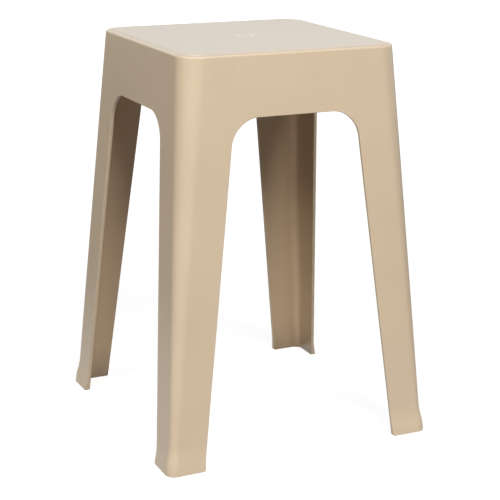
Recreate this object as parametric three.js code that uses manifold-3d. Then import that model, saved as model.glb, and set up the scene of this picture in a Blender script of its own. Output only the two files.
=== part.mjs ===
// A stacking stool moulded in plastic: a square seat on a tapered skirt whose four arches leave
// four open, angle-shaped legs. Millimetres, +Z up, origin on the floor below the seat's centre,
// the wide front face towards -Y.
// The real stool is one moulding. Its regions are separate solids here: the seat panel, the
// apron walls between the arches' corners, the legs, the ribs and the gussets under the seat.
// They meet face to face on level and upright planes.

import * as THREE from 'three';
import { mergeVertices } from 'three/addons/utils/BufferGeometryUtils.js';
import Module from 'manifold-3d';

const wasm = await Module();
wasm.setup();

// Overall form
const seatHeight = 450;
const seatWidth = 257;
const floorWidth = 319.5;
const wall = 4;
const seatCornerRadius = 25;
const floorCornerRadius = 8;
const floorInnerCornerRadius = 9;

// Arches and legs
const apronDepth = 68;
const archRadius = 33;
const legWidthAtArch = 60;
const legWidthAtFloor = 41.1;

// Feet: the outer face turns outwards, from higher up at the corner than at the free edges,
// stands upright for the last stretch and has rounded edges. The inner face runs straight down.
const footFlare = 3;
const footFlareHeight = 31;
const footFlareDrop = 12;
const footBaseHeight = 5;
const footEdgeRadius = 1;
const footCornerRadius = 2;

// Seat panel: a flat field, a small step down round it and a border that falls to the edge
const seatThickness = 3.6;
const borderWidth = 6;
const borderFall = 0.2;
const borderStep = 0.4;
const borderStepRun = 0.15;
const seatEdgeRadius = 2.4;
const gateRingDiameter = 18;
const gateRingWidth = 2.4;
const gateRingDepth = 0.35;

// Ribs and stacking gussets under the seat
const ribsEachWay = 6;
const ribDepth = 10;
const ribThickness = 2.4;
const ribTipThickness = 1.8;
const gussetFromFace = 26.5;
const gussetOverlap = 18;
const gussetRun = 12;
const stackPitch = 62;

// Fit between solids, and how far a cutting body reaches past what it cuts
const pieceGap = 0.3;
const overrun = 5;

// Smoothness of the curves
const cornerSegments = 8;
const archSegments = 10;
const flareSegments = 6;
const edgeSegments = 3;
const ringSegments = 36;

// Levels and places worked out from the sizes above
const seatUnderside = seatHeight - seatThickness;
const archTop = seatHeight - apronDepth;
const gussetPlace = seatWidth / 2 - gussetFromFace;
const gussetBottom = seatHeight - stackPitch;
const legEdgeSlope = (legHalfGap(0) - legHalfGap(archTop)) / archTop;
const archCornerAngle = Math.PI / 2 + Math.atan(legEdgeSlope);
const splitHalf = legHalfGap(archTop) - archRadius / Math.tan(archCornerAngle / 2);

// Half the width across the flat faces at a height, without the feet's flare
function halfWidth(z) {
  return THREE.MathUtils.mapLinear(z, 0, seatHeight, floorWidth / 2, seatWidth / 2);
}

// Radius of the upright outer corner at a height
function cornerRadius(z) {
  return THREE.MathUtils.mapLinear(z, 0, seatHeight, floorCornerRadius, seatCornerRadius);
}

// Half the clear gap between two legs at a height
function legHalfGap(z) {
  const legWidth = THREE.MathUtils.mapLinear(z, 0, archTop, legWidthAtFloor, legWidthAtArch);
  return halfWidth(z) - legWidth;
}

// How far the corner of the foot stands out at a height
function flare(z) {
  return footFlare * (1 - THREE.MathUtils.smoothstep(z, footBaseHeight, footFlareHeight));
}

// Points of a rounded square, all the way round, with the same count for every size
function roundedSquare(half, radius) {
  const centre = half - radius;
  const corners = [[centre, centre], [-centre, centre], [-centre, -centre], [centre, -centre]];
  return corners.flatMap(([x, y], quarter) => {
    return Array.from({ length: cornerSegments + 1 }, (_, step) => {
      const angle = (quarter + step / cornerSegments) * Math.PI / 2;
      return new THREE.Vector2(x + radius * Math.cos(angle), y + radius * Math.sin(angle));
    });
  });
}

// The skirt's outer outline at a height, moved in by an inset. Each side has two points of its
// own just inside the arch, where the foot stands out less than at the corner.
function outerOutline(z, inset) {
  const wallHalf = halfWidth(z) + flare(z + footFlareDrop) - inset;
  const wallReach = legHalfGap(z) - overrun;
  const points = roundedSquare(halfWidth(z) + flare(z) - inset, cornerRadius(z) + flare(z) - inset);
  const perCorner = cornerSegments + 1;
  return [0, 1, 2, 3].flatMap((quarter) => {
    const side = [wallReach, -wallReach].map((x) => {
      return new THREE.Vector2(x, wallHalf).rotateAround(new THREE.Vector2(), quarter * Math.PI / 2);
    });
    return points.slice(quarter * perCorner, (quarter + 1) * perCorner).concat(side);
  });
}

// The skirt's inner outline at a height, moved in from the inner face by a clearance
function innerOutline(z, clearance) {
  const seatInnerCornerRadius = seatCornerRadius - wall;
  const radius = THREE.MathUtils.mapLinear(z, 0, seatHeight, floorInnerCornerRadius, seatInnerCornerRadius);
  return roundedSquare(halfWidth(z) - wall - clearance, radius - clearance);
}

// A closed solid through outlines that lie one above the other
function loft(sections) {
  const count = sections[0].outline.length;
  const positions = sections.flatMap(({ z, outline }) => outline.flatMap((point) => [point.x, point.y, z]));
  const index = [];
  for (let level = 0; level < sections.length - 1; level += 1) {
    for (let side = 0; side < count; side += 1) {
      const a = level * count + side;
      const b = level * count + (side + 1) % count;
      index.push(a, b, b + count, a, b + count, a + count);
    }
  }
  const top = (sections.length - 1) * count;
  for (const [a, b, c] of THREE.ShapeUtils.triangulateShape(sections[0].outline, [])) {
    index.push(c, b, a, top + a, top + b, top + c);
  }
  const geometry = new THREE.BufferGeometry();
  geometry.setAttribute('position', new THREE.Float32BufferAttribute(positions, 3));
  geometry.setIndex(index);
  return solid(geometry);
}

// A closed three.js geometry as a body that can be joined and cut
function solid(geometry) {
  const bare = new THREE.BufferGeometry();
  bare.setAttribute('position', geometry.getAttribute('position'));
  bare.setIndex(geometry.getIndex());
  const merged = mergeVertices(bare);
  return new wasm.Manifold(new wasm.Mesh({
    numProp: 3,
    vertProperties: new Float32Array(merged.getAttribute('position').array),
    triVerts: new Uint32Array(merged.getIndex().array),
  }));
}

// A box between two corners
function block(low, high) {
  const size = high.clone().sub(low);
  const middle = high.clone().add(low).multiplyScalar(1 / 2);
  return solid(new THREE.BoxGeometry(size.x, size.y, size.z).translate(middle.x, middle.y, middle.z));
}

// An outline in width and height, run along Y with the same reach both ways
function prism(shape, reach) {
  const geometry = new THREE.ExtrudeGeometry(shape, {
    depth: 2 * reach,
    bevelEnabled: false,
    curveSegments: archSegments,
  });
  return solid(geometry.rotateX(Math.PI / 2).translate(0, reach, 0));
}

// A closed outline through corner points, each with its own rounding
function roundedShape(corners) {
  const shape = new THREE.Shape();
  corners.forEach(({ x, y, radius }, place) => {
    const before = corners[(place + corners.length - 1) % corners.length];
    const after = corners[(place + 1) % corners.length];
    const here = new THREE.Vector2(x, y);
    if (!radius) {
      if (place === 0) shape.moveTo(x, y);
      else shape.lineTo(x, y);
      return;
    }
    const back = new THREE.Vector2(before.x, before.y).sub(here).normalize();
    const ahead = new THREE.Vector2(after.x, after.y).sub(here).normalize();
    const half = Math.acos(back.dot(ahead)) / 2;
    const bisector = back.clone().add(ahead).normalize();
    const centre = here.clone().addScaledVector(bisector, radius / Math.sin(half));
    const start = here.clone().addScaledVector(back, radius / Math.tan(half)).sub(centre);
    const end = here.clone().addScaledVector(ahead, radius / Math.tan(half)).sub(centre);
    shape.absarc(centre.x, centre.y, radius, start.angle(), end.angle(), start.cross(end) < 0);
  });
  return shape;
}

// The skirt: walls, legs and feet in one tube, from the floor to the seat's underside
function skirtBody() {
  const flareLevels = Array.from({ length: flareSegments + 1 }, (_, step) => {
    return THREE.MathUtils.lerp(footBaseHeight, footFlareHeight, step / flareSegments);
  });
  const edgeLevels = Array.from({ length: edgeSegments + 1 }, (_, step) => {
    const angle = step / edgeSegments * Math.PI / 2;
    return { z: footEdgeRadius * (1 - Math.cos(angle)), inset: footEdgeRadius * (1 - Math.sin(angle)) };
  });
  const plainLevels = flareLevels.concat(seatUnderside).map((z) => ({ z, inset: 0 }));
  const outside = edgeLevels.concat(plainLevels).map(({ z, inset }) => {
    return { z, outline: outerOutline(z, inset) };
  });
  const topLevel = { z: seatUnderside + overrun, inset: 0 };
  const inside = edgeLevels.concat(topLevel).map(({ z, inset }) => {
    return { z, outline: innerOutline(z, -inset) };
  });
  inside.unshift({ z: -overrun, outline: inside[0].outline });
  return loft(outside).subtract(loft(inside));
}

// The opening between two legs: rounded where it meets the apron, and at the feet's corners
function archBody() {
  const mouth = legHalfGap(0) + footCornerRadius + overrun;
  const rightSide = [
    { x: mouth, y: -overrun },
    { x: mouth, y: 0 },
    { x: legHalfGap(0), y: 0, radius: footCornerRadius },
    { x: legHalfGap(archTop), y: archTop, radius: archRadius },
  ];
  const leftSide = rightSide.toReversed().map((corner) => ({ ...corner, x: -corner.x }));
  return prism(roundedShape(rightSide.concat(leftSide)), floorWidth);
}

// The space inside the skirt above the feet, less the gap that ribs and gussets keep to the walls
function cavityBody() {
  return loft([footFlareHeight, seatUnderside + overrun].map((z) => {
    return { z, outline: innerOutline(z, pieceGap) };
  }));
}

// The seat panel, from its underside up over the edge and the border to the flat field
function seatBody() {
  const borderEdge = seatHeight - borderStep - borderFall;
  const edge = Array.from({ length: edgeSegments + 1 }, (_, step) => {
    const angle = step / edgeSegments * Math.PI / 2;
    return {
      z: borderEdge - seatEdgeRadius * (1 - Math.sin(angle)),
      inset: seatEdgeRadius * (1 - Math.cos(angle)),
    };
  });
  const levels = [
    { z: seatUnderside, inset: 0 },
    ...edge,
    { z: seatHeight - borderStep, inset: borderWidth },
    { z: seatHeight, inset: borderWidth + borderStepRun },
  ];
  const panel = loft(levels.map(({ z, inset }) => ({ z, outline: outerOutline(z, inset) })));
  return panel.subtract(gateRing());
}

// The shallow ring that the moulding's gate leaves in the middle of the seat
function gateRing() {
  const middle = gateRingDiameter / 2;
  const profile = [
    new THREE.Vector2(middle - gateRingWidth / 2, seatHeight),
    new THREE.Vector2(middle, seatHeight - gateRingDepth),
    new THREE.Vector2(middle + gateRingWidth / 2, seatHeight),
    new THREE.Vector2(middle, seatHeight + overrun),
    new THREE.Vector2(middle - gateRingWidth / 2, seatHeight),
  ];
  return solid(new THREE.LatheGeometry(profile, ringSegments).rotateX(Math.PI / 2));
}

// One straight rib along Y under the seat, thinner at its lower edge
function ribBody(x, reach) {
  const outline = [
    new THREE.Vector2(x - ribThickness / 2, seatUnderside),
    new THREE.Vector2(x - ribTipThickness / 2, seatUnderside - ribDepth),
    new THREE.Vector2(x + ribTipThickness / 2, seatUnderside - ribDepth),
    new THREE.Vector2(x + ribThickness / 2, seatUnderside),
  ];
  return prism(new THREE.Shape(outline), reach);
}

// The crossed ribs. The outermost ones stop where the gussets take over.
function ribGridBody() {
  const spacing = 2 * gussetPlace / (ribsEachWay - 1);
  const alongY = Array.from({ length: ribsEachWay }, (_, count) => {
    const outermost = count === 0 || count === ribsEachWay - 1;
    return ribBody(count * spacing - gussetPlace, outermost ? gussetPlace - gussetOverlap : seatWidth / 2);
  }).reduce((grid, rib) => grid.add(rib));
  const alongX = alongY.rotate([0, 0, 90]);
  return alongY.add(alongX).intersect(cavityBody());
}

// A gusset is two crossed fins near a corner. Their level lower edges rest on the stool below.
function gussetFin() {
  const inner = gussetPlace - gussetOverlap;
  const outline = [
    new THREE.Vector2(inner, seatUnderside),
    new THREE.Vector2(inner, seatUnderside - ribDepth),
    new THREE.Vector2(inner + gussetRun, gussetBottom),
    new THREE.Vector2(floorWidth / 2, gussetBottom),
    new THREE.Vector2(floorWidth / 2, seatUnderside),
  ];
  return prism(new THREE.Shape(outline), ribThickness / 2).translate([0, gussetPlace, 0]);
}

function gussetBody() {
  const alongX = gussetFin();
  const alongY = alongX.mirror([1, -1, 0]);
  return alongX.add(alongY).intersect(cavityBody());
}

// The plastic's finish
function plastic() {
  return new THREE.MeshStandardMaterial({ color: 0xd3bda0, roughness: 0.42, metalness: 0 });
}

function addMesh(group, name, body) {
  const { vertProperties, triVerts } = body.getMesh();
  const geometry = new THREE.BufferGeometry();
  geometry.setAttribute('position', new THREE.BufferAttribute(vertProperties, 3));
  geometry.setIndex(new THREE.BufferAttribute(triVerts, 1));
  geometry.computeVertexNormals();
  const mesh = new THREE.Mesh(geometry, plastic());
  mesh.name = name;
  group.add(mesh);
}

const reach = floorWidth;
const skirt = skirtBody();
const arch = archBody();
const cutSkirt = skirt.subtract(arch).subtract(arch.rotate([0, 0, 90]));
const frontHalf = block(new THREE.Vector3(-splitHalf, -reach, -overrun),
  new THREE.Vector3(splitHalf, 0, seatHeight));
const rearRightQuarter = block(new THREE.Vector3(splitHalf, splitHalf, -overrun),
  new THREE.Vector3(reach, reach, seatHeight));

const apronFront = cutSkirt.intersect(frontHalf);
const legRearRight = cutSkirt.intersect(rearRightQuarter);
const gussetRearRight = gussetBody();

const stool = new THREE.Group();
addMesh(stool, 'seat_panel', seatBody());
addMesh(stool, 'rib_grid', ribGridBody());

const sides = { front: 0, right: 90, rear: 180, left: 270 };
for (const [side, turn] of Object.entries(sides)) {
  addMesh(stool, `apron_${side}`, apronFront.rotate([0, 0, turn]));
}

const corners = { rear_right: 0, rear_left: 90, front_left: 180, front_right: 270 };
for (const [corner, turn] of Object.entries(corners)) {
  addMesh(stool, `leg_${corner}`, legRearRight.rotate([0, 0, turn]));
  addMesh(stool, `stacking_gusset_${corner}`, gussetRearRight.rotate([0, 0, turn]));
}

export default stool;
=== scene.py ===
import math

import bmesh
import bpy
from mathutils import Matrix, Vector


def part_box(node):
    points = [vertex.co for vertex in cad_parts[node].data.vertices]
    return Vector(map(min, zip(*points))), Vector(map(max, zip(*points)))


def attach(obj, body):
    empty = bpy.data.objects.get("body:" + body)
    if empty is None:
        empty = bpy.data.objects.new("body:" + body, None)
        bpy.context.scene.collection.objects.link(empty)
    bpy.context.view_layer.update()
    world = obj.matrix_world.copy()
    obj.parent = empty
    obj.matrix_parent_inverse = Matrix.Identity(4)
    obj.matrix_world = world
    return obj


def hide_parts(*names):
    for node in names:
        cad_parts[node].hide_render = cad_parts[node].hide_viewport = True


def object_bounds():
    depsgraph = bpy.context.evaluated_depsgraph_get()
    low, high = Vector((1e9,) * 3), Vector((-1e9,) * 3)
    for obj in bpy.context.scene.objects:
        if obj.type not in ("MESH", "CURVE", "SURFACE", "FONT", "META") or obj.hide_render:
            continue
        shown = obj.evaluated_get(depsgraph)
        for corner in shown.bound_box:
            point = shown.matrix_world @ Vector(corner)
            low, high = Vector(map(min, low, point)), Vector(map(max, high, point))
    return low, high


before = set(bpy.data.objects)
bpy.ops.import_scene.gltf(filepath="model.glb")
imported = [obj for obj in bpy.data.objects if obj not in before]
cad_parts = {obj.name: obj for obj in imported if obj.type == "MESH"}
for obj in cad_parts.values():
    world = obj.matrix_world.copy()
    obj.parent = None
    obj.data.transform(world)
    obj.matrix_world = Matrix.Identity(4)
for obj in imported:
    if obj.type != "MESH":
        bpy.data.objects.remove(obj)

cad_low, cad_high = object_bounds()
mm = 0.001

# Skirt
# The stool is one injection moulding: four walls that lean inwards and meet in rounded corners,
# each cut by a tall arch. A quarter of them, from the middle of the rear wall to the middle of the
# right one, is made here as a sheet that gets its thickness, for the legs and the aprons.
seat_height = cad_high.z
seat_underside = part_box("seat_panel")[0].z
arch_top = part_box("apron_rear")[0].z
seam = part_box("leg_rear_right")[0].x
seat_half = 128.5 * mm
floor_half = 159.75 * mm
wall = 4 * mm
seat_corner_radius = 25 * mm
floor_corner_radius = 8 * mm
floor_inner_corner_radius = 9 * mm
arch_radius = 33 * mm
leg_width_at_arch = 60 * mm
leg_width_at_floor = 41.1 * mm
foot_turn_out = 3 * mm
foot_turn_height = 31 * mm
foot_turn_drop = 12 * mm
foot_base_height = 5 * mm
foot_corner_radius = 2 * mm
free_edge_radius = 0.6 * mm
overrun = 5 * mm
corner_steps = 24
arch_steps = 16
foot_corner_steps = 8
foot_levels = 14
free_edge_steps = 4
smooth_angle = math.radians(40)
rim_tolerance = mm / 10
merge_distance = mm / 100
cut_tolerance = mm / 1000


def half_width(z):
    """Half the width across the walls at a height, without the feet's turn-out."""
    return floor_half + (seat_half - floor_half) * z / seat_height


def corner_radius(z):
    """Radius of the upright outer corner at a height."""
    return floor_corner_radius + (seat_corner_radius - floor_corner_radius) * z / seat_height


def inner_corner_radius(z):
    """Radius of the upright inner corner at a height."""
    change = seat_corner_radius - wall - floor_inner_corner_radius
    return floor_inner_corner_radius + change * z / seat_height


def leg_half_gap(z):
    """Half the clear gap between two legs at a height."""
    leg_width = leg_width_at_floor + (leg_width_at_arch - leg_width_at_floor) * z / arch_top
    return half_width(z) - leg_width


def turn_out(z):
    """How far the corner of the foot stands out at a height: an S-curve from full to none."""
    share = min(max((z - foot_base_height) / (foot_turn_height - foot_base_height), 0), 1)
    return foot_turn_out * (1 - share * share * (3 - 2 * share))


def at_corner(spot):
    """Whether a spot of the outer face lies on the rounded corner, with its rims."""
    centre = half_width(spot.z) - corner_radius(spot.z)
    return min(spot.x, spot.y) > centre - rim_tolerance


def outwards(spot):
    """The level direction that faces away from the wall or the rounded corner at a spot."""
    centre = half_width(spot.z) - corner_radius(spot.z)
    return Vector((max(spot.x - centre, 0), max(spot.y - centre, 0), 0)).normalized()


def turned_out(spot):
    """The spot of the outer face with the foot's turn-out, which starts lower at the free edges."""
    drop = 0 if at_corner(spot) else foot_turn_drop
    return spot + outwards(spot) * turn_out(spot.z + drop)


def inner_spot(spot):
    """The spot of the inner face that lies behind a spot of the plain outer face."""
    if not at_corner(spot):
        return spot - outwards(spot) * wall
    radius = inner_corner_radius(spot.z)
    centre = half_width(spot.z) - wall - radius
    return Vector((centre, centre, spot.z)) + outwards(spot) * radius


def rounded_square(bm, z, inset=0):
    """A level face in the skirt's outline at a height, moved in by an inset."""
    square = bmesh.ops.create_grid(bm, x_segments=1, y_segments=1, size=half_width(z) - inset,
                                   matrix=Matrix.Translation((0, 0, z)))
    rounded = bmesh.ops.bevel(bm, geom=square["verts"], offset=corner_radius(z) - inset,
                              offset_type="OFFSET", affect="VERTICES", segments=corner_steps,
                              profile=0.5, material=-1)
    return rounded["verts"][0].link_faces[0]


def bridge(bm, lower, upper):
    """Joins the outlines of two level faces with a band of faces."""
    bmesh.ops.bridge_loops(bm, edges=lower.edges[:] + upper.edges[:])


def whole(bm):
    """All the geometry, as the operators take it."""
    return bm.verts[:] + bm.edges[:] + bm.faces[:]


def sharp_edges(bm):
    """The edges where two faces meet at more than the smooth angle."""
    return [e for e in bm.edges if len(e.link_faces) == 2 and e.calc_face_angle() > smooth_angle]


def skirt_quarter():
    """The rounded corner with half a wall on each side of it, cut by the arches, with its feet."""
    bm = bmesh.new()
    top = seat_underside + overrun
    floor_outline = rounded_square(bm, 0)
    top_outline = rounded_square(bm, top)
    bridge(bm, floor_outline, top_outline)
    others = [f for f in bm.faces if min(f.calc_center_median()[:2]) < mm]
    bmesh.ops.delete(bm, geom=others, context="FACES")

    lean = math.atan((leg_half_gap(0) - leg_half_gap(arch_top)) / arch_top)
    half_angle = (math.pi / 2 + lean) / 2
    for turned in (False, True):
        places = [
            (half_width(top) - corner_radius(top), top),
            (-overrun, top),
            (-overrun, arch_top),
            (leg_half_gap(arch_top), arch_top),
            (leg_half_gap(0), 0),
            (floor_half - floor_corner_radius, 0),
        ]
        verts = []
        for across, z in places:
            spot = (half_width(z), across, z) if turned else (across, half_width(z), z)
            verts.append(bm.verts.new(spot))
        bm.faces.new(verts)
        for vert, radius, steps in ((verts[3], arch_radius, arch_steps),
                                    (verts[4], foot_corner_radius, foot_corner_steps)):
            bmesh.ops.bevel(bm, geom=[vert], offset=radius / math.tan(half_angle),
                            offset_type="OFFSET", affect="VERTICES", segments=steps,
                            profile=0.5, material=-1)
    bmesh.ops.remove_doubles(bm, verts=bm.verts[:], dist=merge_distance)

    for level in range(foot_levels + 1):
        z = foot_base_height + (foot_turn_height - foot_base_height) * level / foot_levels
        bmesh.ops.bisect_plane(bm, geom=whole(bm), dist=cut_tolerance, plane_co=(0, 0, z),
                               plane_no=(0, 0, 1))
    outer = bm.verts[:]
    made = bmesh.ops.extrude_face_region(bm, geom=bm.faces[:], use_keep_orig=True)
    for vert in made["geom"]:
        if isinstance(vert, bmesh.types.BMVert):
            vert.co = inner_spot(vert.co)
    for vert in outer:
        vert.co = turned_out(vert.co)
    bmesh.ops.recalc_face_normals(bm, faces=bm.faces[:])
    bmesh.ops.bevel(bm, geom=sharp_edges(bm), offset=free_edge_radius, offset_type="OFFSET",
                    affect="EDGES", segments=free_edge_steps, profile=0.5, clamp_overlap=False,
                    material=-1)
    return bm


def cut(bm, place, direction, closed=True):
    """Takes away what lies past a plane, on the side that the direction points to."""
    made = bmesh.ops.bisect_plane(bm, geom=whole(bm), dist=cut_tolerance, plane_co=place,
                                  plane_no=direction, clear_outer=True)
    if closed:
        rim = [e for e in made["geom_cut"] if isinstance(e, bmesh.types.BMEdge)]
        bmesh.ops.holes_fill(bm, edges=rim)


quarter = skirt_quarter()

# Legs
# Each leg is an angle-shaped corner of the moulding, wide below the arch and narrow at the floor,
# where the foot turns outwards. The plastic is sand-beige polypropylene, satin with a fine grain.
# Its colour also carries painted light: a greyer seat (painted shade and painted sheen), a warmer,
# darker inside of the walls (painted shade), a pale inner fold (painted highlight), and painted
# shade inside the feet, darker towards the floor.
corners = ("rear_right", "rear_left", "front_left", "front_right")
plastic_colour = (0.66, 0.52, 0.362, 1)
plastic_ior = 1.49
wave_scale = 38
cloud_scale = 14
streak_scale = 160
streak_share = 0.4
seat_shade_and_sheen_colour = (0.552, 0.473, 0.388, 1)
seat_facing = 2 / 3
ring_highlight_colour = (0.84, 0.77, 0.7, 1)
ring_highlight_radius = 9 * mm
ring_highlight_half = 2 * mm
inside_shade_colour = (0.63, 0.46, 0.291, 1)
inside_reach = 118.5 * mm
inside_fade = 5 * mm
fold_highlight_colour = (0.76, 0.556, 0.352, 1)
fold_tightness = 3
foot_shade_colour = (0.2, 0.14, 0.09, 1)
foot_shade_height = 55 * mm
foot_shade_strength = 0.6
sink_line_place = 102 * mm
sink_line_half = 3 * mm
sink_line_low = 388 * mm
sink_line_depth = 0.02


def new_node(tree, kind, **settings):
    """A new node with its settings."""
    node = tree.nodes.new(kind)
    for name, value in settings.items():
        setattr(node, name, value)
    return node


def feed(tree, socket, value):
    """Gives a socket a constant or another node's output."""
    if isinstance(value, bpy.types.NodeSocket):
        tree.links.new(value, socket)
    else:
        socket.default_value = value


def maths(tree, operation, *values, clamp=False):
    """The result of a Math node."""
    node = new_node(tree, "ShaderNodeMath", operation=operation, use_clamp=clamp)
    for socket, value in zip(node.inputs, values):
        feed(tree, socket, value)
    return node.outputs[0]


def ramp(tree, value, start, end):
    """0 up to the start, 1 from the end on, and even between them."""
    run = end - start
    return maths(tree, "MULTIPLY_ADD", value, 1 / run, -start / run, clamp=True)


def mixed_colour(tree, factor, first, second, blend="MIX"):
    """Two colours mixed."""
    node = new_node(tree, "ShaderNodeMix", data_type="RGBA", blend_type=blend)
    colour_sockets = [s for s in node.inputs if s.type == "RGBA"]
    for socket, value in zip([node.inputs["Factor"]] + colour_sockets, (factor, first, second)):
        feed(tree, socket, value)
    return [s for s in node.outputs if s.type == "RGBA"][0]


def noise(tree, place, scale, detail):
    """Smooth noise from 0 to 1."""
    node = new_node(tree, "ShaderNodeTexNoise")
    feed(tree, node.inputs["Vector"], place)
    feed(tree, node.inputs["Scale"], scale)
    feed(tree, node.inputs["Detail"], detail)
    return node.outputs["Fac"]


def moulded_surface_group():
    """Grain, waviness and cloudiness of a moulded surface, from object coordinates."""
    group = bpy.data.node_groups.new("moulded_surface", "ShaderNodeTree")
    for name in ("Grain Scale", "Grain Depth", "Wave Depth", "Cloud", "Roughness Middle",
                 "Roughness Spread"):
        group.interface.new_socket(name=name, in_out="INPUT", socket_type="NodeSocketFloat")
    for name in ("Tint", "Roughness", "Height"):
        group.interface.new_socket(name=name, in_out="OUTPUT", socket_type="NodeSocketFloat")
    given = new_node(group, "NodeGroupInput").outputs
    result = new_node(group, "NodeGroupOutput").inputs
    place = new_node(group, "ShaderNodeTexCoord").outputs["Object"]

    grain = noise(group, place, given["Grain Scale"], detail=3)
    wave = noise(group, place, wave_scale, detail=1)
    cloud = noise(group, place, cloud_scale, detail=3)
    streak = noise(group, place, streak_scale, detail=4)

    waves = maths(group, "MULTIPLY", wave, given["Wave Depth"])
    height = maths(group, "MULTIPLY_ADD", grain, given["Grain Depth"], waves)
    streaked = maths(group, "MULTIPLY_ADD", streak, streak_share, cloud)
    centred = maths(group, "SUBTRACT", streaked, (1 + streak_share) / 2)
    tint = maths(group, "MULTIPLY_ADD", centred, given["Cloud"], 1)
    uneven = maths(group, "SUBTRACT", maths(group, "ADD", cloud, grain), 1)
    roughness = maths(group, "MULTIPLY_ADD", uneven, given["Roughness Spread"],
                      given["Roughness Middle"])
    feed(group, result["Height"], height)
    feed(group, result["Tint"], tint)
    feed(group, result["Roughness"], roughness)
    return group


moulded_surface = moulded_surface_group()


def moulded_plastic():
    """The grained plastic, with its tones, which carry painted shade and painted highlights, and
    the faint sink lines outside the gussets.
    """
    material = bpy.data.materials.new("satin_plastic")
    material.use_nodes = True
    tree = material.node_tree
    shader = tree.nodes["Principled BSDF"]
    surface = new_node(tree, "ShaderNodeGroup", node_tree=moulded_surface)
    for name, value in (("Grain Scale", 1800), ("Grain Depth", 0.012), ("Wave Depth", 0.05),
                        ("Cloud", 0.1), ("Roughness Middle", 0.37), ("Roughness Spread", 0.1)):
        surface.inputs[name].default_value = value

    here = new_node(tree, "ShaderNodeTexCoord").outputs
    place = new_node(tree, "ShaderNodeSeparateXYZ")
    feed(tree, place.inputs[0], here["Object"])
    x, y, z = place.outputs
    facing = new_node(tree, "ShaderNodeSeparateXYZ")
    feed(tree, facing.inputs[0], here["Normal"])
    facing_x, facing_y, facing_z = facing.outputs

    # Sink lines, upright on the walls and as high as the gussets
    along_wall = maths(tree, "MINIMUM", maths(tree, "ABSOLUTE", x), maths(tree, "ABSOLUTE", y))
    from_line = maths(tree, "ABSOLUTE", maths(tree, "SUBTRACT", along_wall, sink_line_place))
    near_line = ramp(tree, from_line, sink_line_half, 0)
    above = ramp(tree, z, sink_line_low, sink_line_low + sink_line_half)
    sink = maths(tree, "MULTIPLY", maths(tree, "MULTIPLY", near_line, near_line), above)
    sunk = maths(tree, "MULTIPLY", sink, sink_line_depth)
    bump = new_node(tree, "ShaderNodeBump")
    bump.inputs["Distance"].default_value = mm
    feed(tree, bump.inputs["Height"], maths(tree, "SUBTRACT", surface.outputs["Height"], sunk))

    # The top in a greyer, darker tone, painted shade and painted sheen, and the pale ring round the
    # gate
    painted_top = ramp(tree, facing_z, seat_facing, 1)
    tone = mixed_colour(tree, painted_top, plastic_colour, seat_shade_and_sheen_colour)
    # The pale ring is a painted highlight on the edges of the gate ring
    squares = maths(tree, "ADD", maths(tree, "POWER", x, 2), maths(tree, "POWER", y, 2))
    from_middle = maths(tree, "SQRT", squares)
    from_ring = maths(tree, "ABSOLUTE", maths(tree, "SUBTRACT", from_middle, ring_highlight_radius))
    ring_highlight = maths(tree, "MULTIPLY", ramp(tree, from_ring, ring_highlight_half, 0), painted_top)
    tone = mixed_colour(tree, ring_highlight, tone, ring_highlight_colour)

    # The inside of the walls, which faces the middle from further out than the free edges do, in a
    # warmer, darker tone: painted shade, with the warmth of light bounced between the walls
    outward = maths(tree, "ADD", maths(tree, "MULTIPLY", x, facing_x),
                    maths(tree, "MULTIPLY", y, facing_y))
    inside = ramp(tree, outward, -inside_reach, -inside_reach - inside_fade)
    tone = mixed_colour(tree, inside, tone, inside_shade_colour)

    # A painted highlight in the inner fold, where the level direction lies between those of the two
    # walls
    askew = maths(tree, "ABSOLUTE", maths(tree, "MULTIPLY", facing_x, facing_y))
    halfway = maths(tree, "POWER", maths(tree, "MULTIPLY", askew, 2), fold_tightness)
    tone = mixed_colour(tree, maths(tree, "MULTIPLY", inside, halfway), tone, fold_highlight_colour)

    # Painted shade inside the feet, darker towards the floor
    low = maths(tree, "POWER", ramp(tree, z, foot_shade_height, 0), 2)
    foot_shade = maths(tree, "MULTIPLY", maths(tree, "MULTIPLY", inside, low), foot_shade_strength)
    tone = mixed_colour(tree, foot_shade, tone, foot_shade_colour)

    clouded = mixed_colour(tree, 1, tone, surface.outputs["Tint"], "MULTIPLY")
    feed(tree, shader.inputs["Base Color"], clouded)
    feed(tree, shader.inputs["Roughness"], surface.outputs["Roughness"])
    feed(tree, shader.inputs["Normal"], bump.outputs["Normal"])
    shader.inputs["IOR"].default_value = plastic_ior
    return material


satin_plastic = moulded_plastic()


def add_piece(name, bm, node):
    """Makes a finished mesh an object that stands for a node and rides on the stool."""
    bmesh.ops.recalc_face_normals(bm, faces=bm.faces[:])
    for face in bm.faces:
        face.smooth = True
    for edge in sharp_edges(bm):
        edge.smooth = False
    mesh = bpy.data.meshes.new(name)
    bm.to_mesh(mesh)
    mesh.materials.append(satin_plastic)
    piece = bpy.data.objects.new(name, mesh)
    bpy.context.collection.objects.link(piece)
    even = piece.modifiers.new("even_shading", "WEIGHTED_NORMAL")
    even.keep_sharp = True
    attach(piece, "root")
    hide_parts(node)


def turned_copy(bm, quarters):
    """A copy turned about the stool's upright axis by quarter turns."""
    copy = bm.copy()
    bmesh.ops.rotate(copy, verts=copy.verts[:], cent=(0, 0, 0),
                     matrix=Matrix.Rotation(quarters * math.pi / 2, 3, "Z"))
    return copy


leg = quarter.copy()
cut(leg, (seam, 0, 0), (-1, 0, 0))
cut(leg, (0, seam, 0), (0, -1, 0))
cut(leg, (0, 0, seat_underside), (0, 0, 1))
for quarters, corner in enumerate(corners):
    add_piece(corner + "_leg", turned_copy(leg, quarters), "leg_" + corner)

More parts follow.
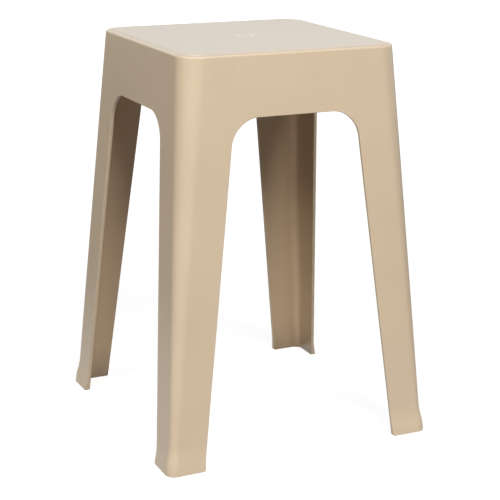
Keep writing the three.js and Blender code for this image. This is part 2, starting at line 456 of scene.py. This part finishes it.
# Aprons
# The wall above each arch, between the rounded corners of the arch. It runs on from the legs'
# walls, and carries the same rounded lower edge.
sides = ("rear", "left", "front", "right")
apron = quarter.copy()
cut(apron, (0, 0, 0), (-1, 0, 0), closed=False)
cut(apron, (seam, 0, 0), (1, 0, 0))
bmesh.ops.mirror(apron, geom=whole(apron), matrix=Matrix.Identity(4), merge_dist=merge_distance,
                 axis="X")
cut(apron, (0, 0, seat_underside), (0, 0, 1))
for quarters, side in enumerate(sides):
    add_piece(side + "_apron", turned_copy(apron, quarters), "apron_" + side)

# Seat
# The flat top of the moulding: a field that stands a little proud, a border that falls slightly
# to the rounded outer edge, and the shallow ring that the gate left in the middle.
border_width = 6 * mm
border_fall = 0.2 * mm
field_step = 0.4 * mm
field_step_run = 0.05 * mm
field_step_round = 0.03 * mm
field_step_round_steps = 2
seat_edge_radius = 2.4 * mm
seat_edge_steps = 8
gate_ring_radius = 9 * mm
gate_ring_half = 1.2 * mm
gate_ring_depth = 0.35 * mm
gate_ring_steps = 6
gate_ring_turn_steps = 72


def open_rim(bm, nearest, furthest):
    """The edges of an opening that lies between two distances from the stool's upright axis."""
    return [e for e in bm.edges
            if len(e.link_faces) == 1 and nearest < e.verts[0].co.xy.length < furthest]


seat = bmesh.new()
edge_level = seat_height - field_step - border_fall
levels = [(seat_underside, 0)]
for step in range(seat_edge_steps + 1):
    angle = step / seat_edge_steps * math.pi / 2
    levels.append((edge_level - seat_edge_radius * (1 - math.sin(angle)),
                   seat_edge_radius * (1 - math.cos(angle))))
levels.append((seat_height - field_step, border_width))
levels.append((seat_height, border_width + field_step_run))
outlines = [rounded_square(seat, z, inset) for z, inset in levels]
for lower, upper in zip(outlines, outlines[1:]):
    bridge(seat, lower, upper)
field_rim = outlines[-1].edges[:]
step_rims = field_rim + outlines[-2].edges[:]
bmesh.ops.delete(seat, geom=outlines[1:], context="FACES_ONLY")

valley = []
for step in range(gate_ring_steps + 1):
    across = 2 * step / gate_ring_steps - 1
    from_middle = gate_ring_radius + across * gate_ring_half
    depth = gate_ring_depth * (1 + math.cos(across * math.pi)) / 2
    valley.append(seat.verts.new((from_middle, 0, seat_height - depth)))
valley_edges = [seat.edges.new(pair) for pair in zip(valley, valley[1:])]
bmesh.ops.spin(seat, geom=valley + valley_edges, cent=(0, 0, 0), axis=(0, 0, 1), dvec=(0, 0, 0),
               angle=2 * math.pi, steps=gate_ring_turn_steps, use_merge=True)
inner_rim = open_rim(seat, 0, gate_ring_radius)
outer_rim = open_rim(seat, gate_ring_radius, 2 * gate_ring_radius)
bmesh.ops.holes_fill(seat, edges=inner_rim)
bmesh.ops.triangle_fill(seat, use_beauty=True, edges=outer_rim + field_rim)
bmesh.ops.bevel(seat, geom=step_rims, offset=field_step_round, offset_type="OFFSET", affect="EDGES",
                segments=field_step_round_steps, profile=0.5, material=-1)
add_piece("seat", seat, "seat_panel")

# Ribs
# Crossed ribs stiffen the seat from below. Each is a little thinner at its lower edge, so that it
# leaves the mould, and has a small fillet at the seat. The outermost stop at the gussets.
ribs_each_way = 6
rib_depth = 10 * mm
rib_root = 2.4 * mm
rib_tip = 1.8 * mm
rib_fillet = 0.8 * mm
rib_tip_round = 0.4 * mm
rib_round_steps = 4
root_bite = 0.2 * mm
wall_bite = 0.6 * mm
gusset_place = 102 * mm
gusset_reach = 18 * mm


def rib(bm, x, reach):
    """One rib along Y, from its cross-section."""
    wide = rib_root / 2 + rib_fillet
    low = seat_underside - rib_depth
    section = [
        (wide, seat_underside + root_bite),
        (wide, seat_underside),
        (rib_root / 2, seat_underside),
        (rib_tip / 2, low),
    ]
    section += [(-across, z) for across, z in reversed(section)]
    verts = [bm.verts.new((x + across, -reach, z)) for across, z in section]
    bm.faces.new(verts)
    fillets = [verts[2], verts[5]]
    tips = [verts[3], verts[4]]
    for picked, radius in ((fillets, rib_fillet), (tips, rib_tip_round)):
        bmesh.ops.bevel(bm, geom=picked, offset=radius, offset_type="OFFSET", affect="VERTICES",
                        segments=rib_round_steps, profile=0.5, material=-1)
    made = bmesh.ops.extrude_face_region(bm, geom=[verts[0].link_faces[0]])
    moved = [v for v in made["geom"] if isinstance(v, bmesh.types.BMVert)]
    bmesh.ops.translate(bm, verts=moved, vec=(0, 2 * reach, 0))
    bmesh.ops.remove_doubles(bm, verts=bm.verts[:], dist=merge_distance)


def joined(bm, other):
    """Both meshes as one closed mesh, without spare points along its edges."""
    holders = []
    for part in (bm, other):
        bmesh.ops.recalc_face_normals(part, faces=part.faces[:])
        mesh = bpy.data.meshes.new("part")
        part.to_mesh(mesh)
        holder = bpy.data.objects.new("part", mesh)
        bpy.context.collection.objects.link(holder)
        holders.append(holder)
    union = holders[0].modifiers.new("union", "BOOLEAN")
    union.operation = "UNION"
    union.solver = "EXACT"
    union.object = holders[1]
    evaluated = holders[0].evaluated_get(bpy.context.evaluated_depsgraph_get())
    result = bmesh.new()
    result.from_mesh(evaluated.to_mesh())
    bmesh.ops.dissolve_verts(result, verts=[v for v in result.verts if len(v.link_edges) == 2])
    for holder in holders:
        mesh = holder.data
        bpy.data.objects.remove(holder)
        bpy.data.meshes.remove(mesh)
    return result


inner_half = half_width(seat_underside) - wall + wall_bite
along_y = bmesh.new()
for count in range(ribs_each_way):
    x = gusset_place * (2 * count / (ribs_each_way - 1) - 1)
    outermost = count in (0, ribs_each_way - 1)
    rib(along_y, x, gusset_place - gusset_reach if outermost else inner_half)
rib_grid = joined(along_y, turned_copy(along_y, 1))
add_piece("underside_ribs", rib_grid, "rib_grid")

# Gussets
# Two crossed fins in each corner under the seat. Their level lower edges rest on the seat of the
# stool below, so that stacked stools don't jam.
gusset_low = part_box("stacking_gusset_rear_right")[0].z
gusset_run = 12 * mm
fin_edge_round = 0.35 * mm
fin_edge_steps = 3


def fin():
    """One fin along X, from its outline, with rounded lower edges."""
    bm = bmesh.new()
    inner = gusset_place - gusset_reach
    top = seat_underside + root_bite
    outline = [
        (inner, top),
        (inner, seat_underside - rib_depth),
        (inner + gusset_run, gusset_low),
        (half_width(gusset_low) - wall + wall_bite, gusset_low),
        (half_width(top) - wall + wall_bite, top),
    ]
    face = bm.faces.new([bm.verts.new((x, gusset_place - rib_root / 2, z)) for x, z in outline])
    made = bmesh.ops.extrude_face_region(bm, geom=[face])
    moved = [v for v in made["geom"] if isinstance(v, bmesh.types.BMVert)]
    bmesh.ops.translate(bm, verts=moved, vec=(0, rib_root, 0))
    bmesh.ops.recalc_face_normals(bm, faces=bm.faces[:])
    lower_edges = [e for e in bm.edges
                   if abs(e.verts[0].co.y - e.verts[1].co.y) < merge_distance
                   and max(v.co.z for v in e.verts) < seat_underside
                   and min(v.co.x for v in e.verts) < half_width(gusset_low) - wall]
    bmesh.ops.bevel(bm, geom=lower_edges, offset=fin_edge_round, offset_type="OFFSET",
                    affect="EDGES", segments=fin_edge_steps, profile=0.5, material=-1)
    return bm


fin_along_x = fin()
fin_along_y = fin_along_x.copy()
bmesh.ops.transform(fin_along_y, verts=fin_along_y.verts[:],
                    matrix=Matrix(((0, 1, 0, 0), (1, 0, 0, 0), (0, 0, 1, 0), (0, 0, 0, 1))))
gusset = joined(fin_along_x, fin_along_y)
for quarters, corner in enumerate(corners):
    add_piece(corner + "_gusset", turned_copy(gusset, quarters), "stacking_gusset_" + corner)

# Floor and light
# A white floor and a white surround. Glossy faces reflect the surround, but of the floor only
# what is near the stool or in a patch on its left. Soft lamps stand as in a light tent: bright in
# front and on the left, and one behind that lights the stool without showing in its gloss.
floor_size = 30
floor_grey = 0.22
floor_roughness = 0.9

bpy.ops.mesh.primitive_plane_add(size=floor_size)
floor = bpy.context.object
floor.name = "studio_floor"
floor_material = bpy.data.materials.new("studio_white")
floor_material.use_nodes = True
floor_tree = floor_material.node_tree
paper = floor_tree.nodes["Principled BSDF"]
paper.inputs["Base Color"].default_value = (floor_grey, floor_grey, floor_grey, 1)
paper.inputs["Roughness"].default_value = floor_roughness
paper.inputs["Specular IOR Level"].default_value = 0
floor_place = new_node(floor_tree, "ShaderNodeTexCoord").outputs["Object"]


def floor_level(centre, near, far, near_level, far_level):
    """A level that changes from one distance from a point of the floor to another."""
    away = new_node(floor_tree, "ShaderNodeVectorMath", operation="DISTANCE")
    feed(floor_tree, away.inputs[0], floor_place)
    feed(floor_tree, away.inputs[1], centre)
    change = new_node(floor_tree, "ShaderNodeMapRange")
    for name, value in (("Value", away.outputs["Value"]), ("From Min", near), ("From Max", far),
                        ("To Min", near_level), ("To Max", far_level)):
        feed(floor_tree, change.inputs[name], value)
    return change.outputs["Result"]


seen_level = floor_level(centre=(0, 0, 0), near=0.5, far=2.5, near_level=0.88, far_level=1)
round_stool = floor_level(centre=(0, 0, 0), near=0.28, far=0.8, near_level=0.95, far_level=0.05)
left_patch = floor_level(centre=(-0.85, -0.3, 0), near=0.35, far=0.6, near_level=1.8, far_level=0)
mirrored_level = maths(floor_tree, "MAXIMUM", round_stool, left_patch)
ray = new_node(floor_tree, "ShaderNodeLightPath").outputs
seen = maths(floor_tree, "MULTIPLY", ray["Is Camera Ray"], seen_level)
mirrored = maths(floor_tree, "MULTIPLY", ray["Is Glossy Ray"], mirrored_level)
glow = new_node(floor_tree, "ShaderNodeEmission")
feed(floor_tree, glow.inputs["Strength"], maths(floor_tree, "MAXIMUM", seen, mirrored))
upper_side = new_node(floor_tree, "ShaderNodeAddShader")
feed(floor_tree, upper_side.inputs[0], paper.outputs[0])
feed(floor_tree, upper_side.inputs[1], glow.outputs[0])
clear = new_node(floor_tree, "ShaderNodeBsdfTransparent")
one_sided = new_node(floor_tree, "ShaderNodeMixShader")
underneath = new_node(floor_tree, "ShaderNodeNewGeometry").outputs["Backfacing"]
feed(floor_tree, one_sided.inputs["Fac"], underneath)
feed(floor_tree, one_sided.inputs[1], upper_side.outputs[0])
feed(floor_tree, one_sided.inputs[2], clear.outputs[0])
feed(floor_tree, floor_tree.nodes["Material Output"].inputs["Surface"], one_sided.outputs[0])
floor.data.materials.append(floor_material)

scene = bpy.context.scene
scene.view_settings.view_transform = "Standard"
world = bpy.data.worlds.new("studio")
scene.world = world
world.use_nodes = True
world_tree = world.node_tree
surround = world_tree.nodes["Background"]
surround.inputs["Color"].default_value = (1, 1, 1, 1)
ray = new_node(world_tree, "ShaderNodeLightPath").outputs
seen_or_mirrored = maths(world_tree, "MAXIMUM", ray["Is Camera Ray"], ray["Is Glossy Ray"])
feed(world_tree, surround.inputs["Strength"],
     maths(world_tree, "MAXIMUM", seen_or_mirrored, ray["Is Transmission Ray"]))

lamp_size = 2.2
lamp_distance = 4.5


def soft_lamp(name, azimuth, elevation, power, mirrored=True):
    """A large square lamp that faces the stool's middle, placed by its direction from there."""
    data = bpy.data.lights.new(name, "AREA")
    data.energy = power
    data.size = lamp_size
    lamp = bpy.data.objects.new(name, data)
    turn, rise = math.radians(azimuth), math.radians(elevation)
    level = math.cos(rise)
    away = Vector((math.sin(turn) * level, -math.cos(turn) * level, math.sin(rise)))
    lamp.location = Vector((0, 0, seat_height / 2)) + away * lamp_distance
    lamp.rotation_euler = away.to_track_quat("Z", "Y").to_euler()
    lamp.visible_camera = False
    lamp.visible_glossy = mirrored
    bpy.context.collection.objects.link(lamp)


soft_lamp("front_lamp", azimuth=0, elevation=43, power=168)
soft_lamp("left_lamp", azimuth=-62, elevation=40, power=112)
soft_lamp("rear_lamp", azimuth=150, elevation=19, power=3)
soft_lamp("rear_low_lamp", azimuth=180, elevation=10, power=14)
soft_lamp("rear_right_lamp", azimuth=100, elevation=10, power=20)
soft_lamp("rear_fill_lamp", azimuth=140, elevation=7, power=95, mirrored=False)

# Camera
# The view of the photograph, from the front left and a little above the seat, through a long lens.
# Its place, turn and lens were fitted to the stool's straight edges together with the sizes.
camera_place = (-688.25 * mm, -1484.97 * mm, 668.8 * mm)
camera_azimuth = math.radians(-25.137)
camera_down = math.radians(16.121)
camera_roll = math.radians(0.434)
focal_length = 103.359
sensor_width = 36

camera_data = bpy.data.cameras.new("camera")
camera_data.lens = focal_length
camera_data.sensor_width = sensor_width
camera = bpy.data.objects.new("camera", camera_data)
bpy.context.collection.objects.link(camera)
camera.matrix_world = (Matrix.Translation(camera_place)
                       @ Matrix.Rotation(camera_azimuth, 4, "Z")
                       @ Matrix.Rotation(math.pi / 2 - camera_down, 4, "X")
                       @ Matrix.Rotation(camera_roll, 4, "Z"))
scene.camera = camera
